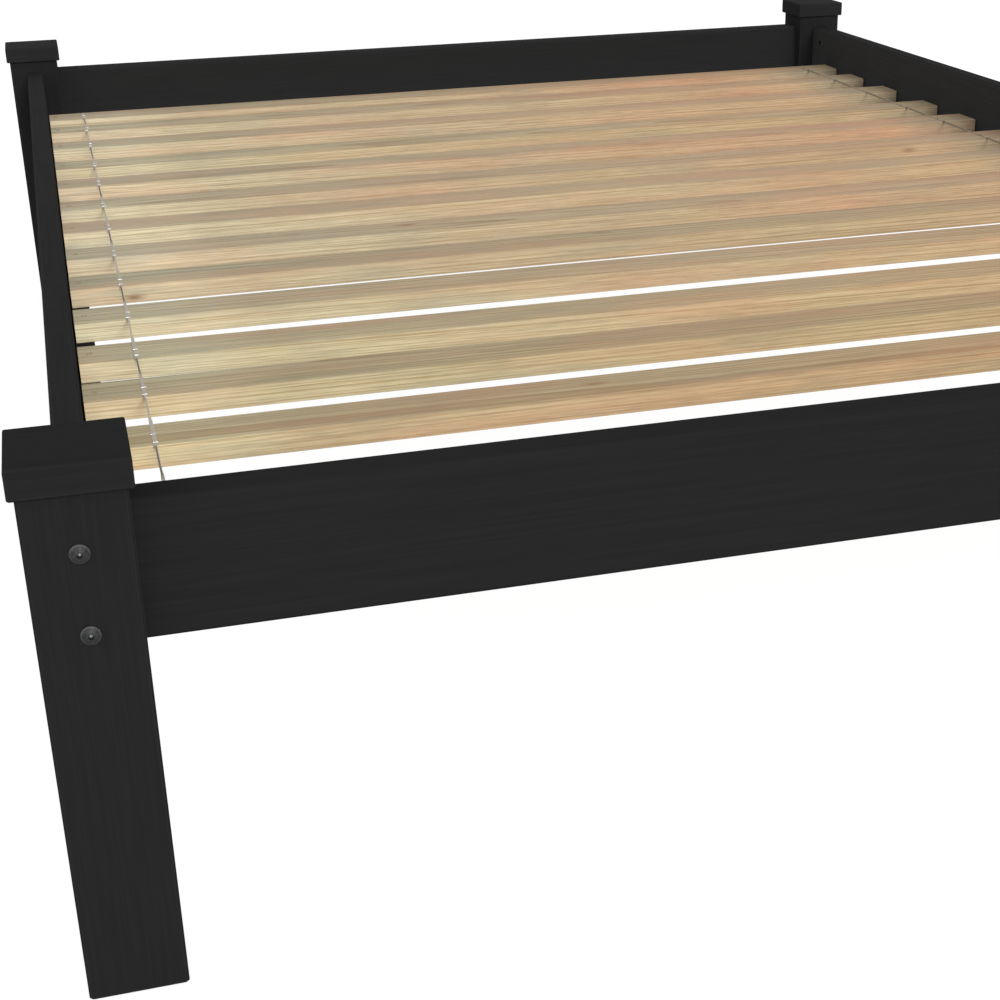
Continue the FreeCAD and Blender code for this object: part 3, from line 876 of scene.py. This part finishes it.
def screw_head(name):
    """A countersunk head whose face is at the origin and looks along Z, with a cross recess."""
    bm = bmesh.new()
    turns = [2 * math.pi * i / HEAD_SIDES for i in range(HEAD_SIDES)]
    rim = [bm.verts.new((HEAD_RADIUS * math.cos(t), HEAD_RADIUS * math.sin(t), 0)) for t in turns]
    foot = [bm.verts.new((v.co.x * SHANK_SHARE, v.co.y * SHANK_SHARE, -HEAD_DEPTH)) for v in rim]
    a, w = CROSS_LENGTH / 2, CROSS_WIDTH / 2
    quarter = [(a, -w), (a, w), (w, w)]
    outline = []
    for c, s in ((1, 0), (0, 1), (-1, 0), (0, -1)):
        outline += [(x * c - y * s, x * s + y * c) for x, y in quarter]
    edge = [bm.verts.new((x, y, 0)) for x, y in outline]
    share = CROSS_BED_SHARE
    bed = [bm.verts.new((x * share, y * share, -CROSS_DEPTH)) for x, y in outline]
    loops = []
    for ring in (rim, edge):
        loops += [bm.edges.new((ring[i], ring[(i + 1) % len(ring)])) for i in range(len(ring))]
    bmesh.ops.triangle_fill(bm, use_beauty=True, edges=loops)
    for upper, lower in ((rim, foot), (edge, bed)):
        for i in range(len(upper)):
            j = (i + 1) % len(upper)
            bm.faces.new((upper[i], upper[j], lower[j], lower[i]))
    bm.faces.new(foot)
    bm.faces.new(bed)
    bmesh.ops.recalc_face_normals(bm, faces=bm.faces)
    mesh = bpy.data.meshes.new(name)
    bm.to_mesh(mesh)
    bm.free()
    return bpy.data.objects.new(name, mesh)


SCREW_FROM_SLAT_END = 10.8 * MM
SCREW_PROUD = 0.15 * MM
UPRIGHT = (0.0, 0.0, 0.0)
pattern_screw = screw_head("pattern_screw")
marks = []
for low, high in slat_boxes:
    for x in (low.x + SCREW_FROM_SLAT_END, high.x - SCREW_FROM_SLAT_END):
        marks.append(((x, (low.y + high.y) / 2, high.z + SCREW_PROUD), UPRIGHT))
set_pieces("slat_screws", pattern_screw, marks, screw_zinc, seed=3)

marks = []
for name, side in (("ledge_left", -1), ("ledge_right", 1)):
    low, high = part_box(name)
    face = high.x if side < 0 else low.x
    middles = [(low.y + slat_boxes[0][0].y) / 2]
    for i in range(0, len(slat_boxes) - 1, 2):
        middles.append((slat_boxes[i][1].y + slat_boxes[i + 1][0].y) / 2)
    sideways = (0.0, -side * math.pi / 2, 0.0)
    for y in middles:
        marks.append(((face - side * SCREW_PROUD, y, (low.z + high.z) / 2), sideways))
set_pieces("ledge_screws", pattern_screw, marks, screw_zinc, seed=4)

# %% [markdown]
# ### Staples
#
# A staple is one wire bent twice. Its crown lies across the tape and its legs go into the wood. Each slat
# has one near its front edge and one near its middle, as in the photograph.

# %% Staples
STAPLE_WIDTH = 5.0 * MM
STAPLE_WIRE = 0.40 * MM
STAPLE_LEG = 3.0 * MM
STAPLE_BEND = 0.7 * MM
BEND_TURNS = (0, math.pi / 6, math.pi / 3, math.pi / 2)
STAPLE_SHARES = (0.07, 0.44)
STAPLE_STRAY_SHARE, STAPLE_STRAY, STAPLE_SPIN = 0.03, 0.5 * MM, 0.22
CROWN_ABOVE_SLAT = 0.95 * MM
RAIL_STAPLE_DROP = 13.0 * MM


def staple(name):
    """A bent wire whose crown is at the origin along X, legs down."""
    half, bend = STAPLE_WIDTH / 2, STAPLE_BEND
    corner = [(-half + bend * (1 - math.cos(t)), 0, -bend * (1 - math.sin(t))) for t in BEND_TURNS]
    left = [(-half, 0, -STAPLE_LEG)] + corner
    path = left + [(-x, y, z) for x, y, z in reversed(left)]
    curve = bpy.data.curves.new(name, "CURVE")
    curve.dimensions = "3D"
    curve.bevel_depth = STAPLE_WIRE
    curve.bevel_resolution = 1
    curve.use_fill_caps = True
    spline = curve.splines.new("POLY")
    spline.points.add(len(path) - 1)
    for point, co in zip(spline.points, path):
        point.co = (*co, 1.0)
    bent = bpy.data.objects.new(name, curve)
    scene.collection.objects.link(bent)
    bpy.context.view_layer.update()
    mesh = bpy.data.meshes.new_from_object(bent.evaluated_get(bpy.context.evaluated_depsgraph_get()))
    bpy.data.objects.remove(bent)
    return bpy.data.objects.new(name, mesh)


tape_boxes = {side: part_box("slat_tape_" + side) for side in ("left", "right")}
tape_middle = {side: (low.x + high.x) / 2 for side, (low, high) in tape_boxes.items()}
pattern_staple = staple("pattern_staple")
rng = random.Random(12)
marks = []
for side, x in tape_middle.items():
    for low, high in slat_boxes:
        for share in STAPLE_SHARES:
            share += rng.uniform(-STAPLE_STRAY_SHARE, STAPLE_STRAY_SHARE)
            stray = rng.uniform(-STAPLE_STRAY, STAPLE_STRAY)
            y = low.y + (high.y - low.y) * share
            marks.append(((x + stray, y, high.z + CROWN_ABOVE_SLAT), UPRIGHT))
    rail_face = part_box("foot_rail")[1].y
    on_rail = (x, rail_face + CROWN_ABOVE_SLAT, slat_top - RAIL_STAPLE_DROP)
    marks.append((on_rail, (-math.pi / 2, 0.0, 0.0)))
set_pieces("tape_staples", pattern_staple, marks, staple_wire, spin=STAPLE_SPIN, seed=5)

# %% [markdown]
# ## Slat tapes
#
# A tape lies flat where it is stapled. Between the slats nothing holds it, and it turns up on its edge
# there, so from above it looks broad on a slat, thin across the gap, and broad again where it comes back
# to wood. The left one leans to and fro. The right one stands almost upright, its darker side to the
# left, and shows as a short dark line in each gap. The mesh is a strip with a thickness, laid station by
# station along the bed, each station turned about the tape's own line. At the foot end both lie flat
# again long before the rail, then bend down the rail's inner face, and on the last slat they are simply
# cut off.

# %% Tapes
TAPE_THICK = 0.5 * MM
TAPE_CLEAR = 0.3 * MM
TAPE_STEP = 2.0 * MM
TAPE_LEANS = {"left": (math.radians(66), -1), "right": (math.radians(-84), 1)}
LEAN_SOON = 8.0 * MM
LEAN_LATE = 26.0 * MM
FLAT_FROM_RAIL = 138.0 * MM
TAPE_BEND = 3.0 * MM
TAPE_STRAIGHT = 6.0 * MM
BEND_STEPS = 6
STRIP_CORNERS = ((-1, -1), (1, -1), (1, 1), (-1, 1))


def ease(share):
    """0 to 1 with a soft start and end."""
    share = min(1.0, max(0.0, share))
    return share * share * (3 - 2 * share)


def tape_lean(y, rail_face, most, swap):
    """How far a tape has turned up on its edge at a place along the bed. swap -1 turns it to and fro."""
    behind = [rail_face] + [high.y for low, high in slat_boxes]
    ahead = [low.y for low, high in slat_boxes]
    for k, (back, front) in enumerate(zip(behind, ahead)):
        if back < y < front:
            flat = back if k else back + FLAT_FROM_RAIL
            turn = ease((y - flat) / LEAN_LATE) * ease((front - y) / LEAN_SOON)
            return most * turn * swap ** k
    return 0.0


def tape(name, side):
    """One slat tape as a thick strip with a UV map in metres along and across."""
    low, high = tape_boxes[side]
    x, width = tape_middle[side], high.x - low.x
    level = slat_top + TAPE_CLEAR
    wall = low.y + TAPE_CLEAR
    frames = []
    for z in (low.z + TAPE_CLEAR, level - 2 * TAPE_BEND - TAPE_STRAIGHT, level - TAPE_BEND):
        frames.append((Vector((x, wall, z)), Vector((1, 0, 0)), Vector((0, -1, 0))))
    for i in range(1, BEND_STEPS + 1):
        t = math.pi / 2 * i / BEND_STEPS
        at = Vector((x, wall + TAPE_BEND * (1 - math.cos(t)), level - TAPE_BEND * (1 - math.sin(t))))
        frames.append((at, Vector((1, 0, 0)), Vector((0, -math.cos(t), math.sin(t)))))
    start, finish = wall + TAPE_BEND, high.y
    count = round((finish - start) / TAPE_STEP)
    for i in range(1, count + 1):
        y = start + (finish - start) * i / count
        lean = tape_lean(y, start, *TAPE_LEANS[side])
        across = Vector((math.cos(lean), 0, math.sin(lean)))
        frames.append((Vector((x, y, level)), across, Vector((-math.sin(lean), 0, math.cos(lean)))))

    bm = bmesh.new()
    layer = bm.loops.layers.uv.new("UVMap")
    rings, lengths, travelled = [], [], 0.0
    for i, (at, across, normal) in enumerate(frames):
        if i:
            travelled += (at - frames[i - 1][0]).length
        lengths.append(travelled)
        w, t = across * width / 2, normal * TAPE_THICK / 2
        rings.append([bm.verts.new(at + sx * w + sz * t) for sx, sz in STRIP_CORNERS])
    over = [sx * width / 2 for sx, sz in STRIP_CORNERS]
    for k in range(len(rings) - 1):
        for i in range(4):
            j = (i + 1) % 4
            face = bm.faces.new((rings[k][i], rings[k][j], rings[k + 1][j], rings[k + 1][i]))
            for loop, uv in zip(face.loops, ((k, i), (k, j), (k + 1, j), (k + 1, i))):
                loop[layer].uv = (lengths[uv[0]], over[uv[1]])
    bm.faces.new(list(reversed(rings[0])))
    bm.faces.new(rings[-1])
    bmesh.ops.recalc_face_normals(bm, faces=bm.faces)
    mesh = bpy.data.meshes.new(name)
    bm.to_mesh(mesh)
    bm.free()
    mesh.materials.append(tape_weaves[side])
    piece = bpy.data.objects.new(name, mesh)
    scene.collection.objects.link(piece)
    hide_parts("slat_tape_" + side)
    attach(piece, "root")
    print(name, len(mesh.polygons), "faces,", round(travelled, 3), "m long")
    return piece


for side in ("left", "right"):
    tape("tape_" + side, side)

# %% [markdown]
# ## Finishes for the CAD pieces
#
# The posts, caps, rails, ledges, bolts and nuts keep their CAD shapes, so only their materials change.
# The grain runs the long way of each painted piece.

# %% CAD finishes
FINISHES = (
    (("post_",), paint_up),
    (("foot_rail", "head_rail", "cap_"), paint_across),
    (("side_rail_", "ledge_"), paint_along),
    (("bolts_",), bolt_steel),
    (("barrel_nuts_",), nut_zinc),
)
for name, piece in nodes.items():
    for beginnings, finish in FINISHES:
        if name.startswith(beginnings):
            for material_slot in piece.material_slots:
                material_slot.material = finish
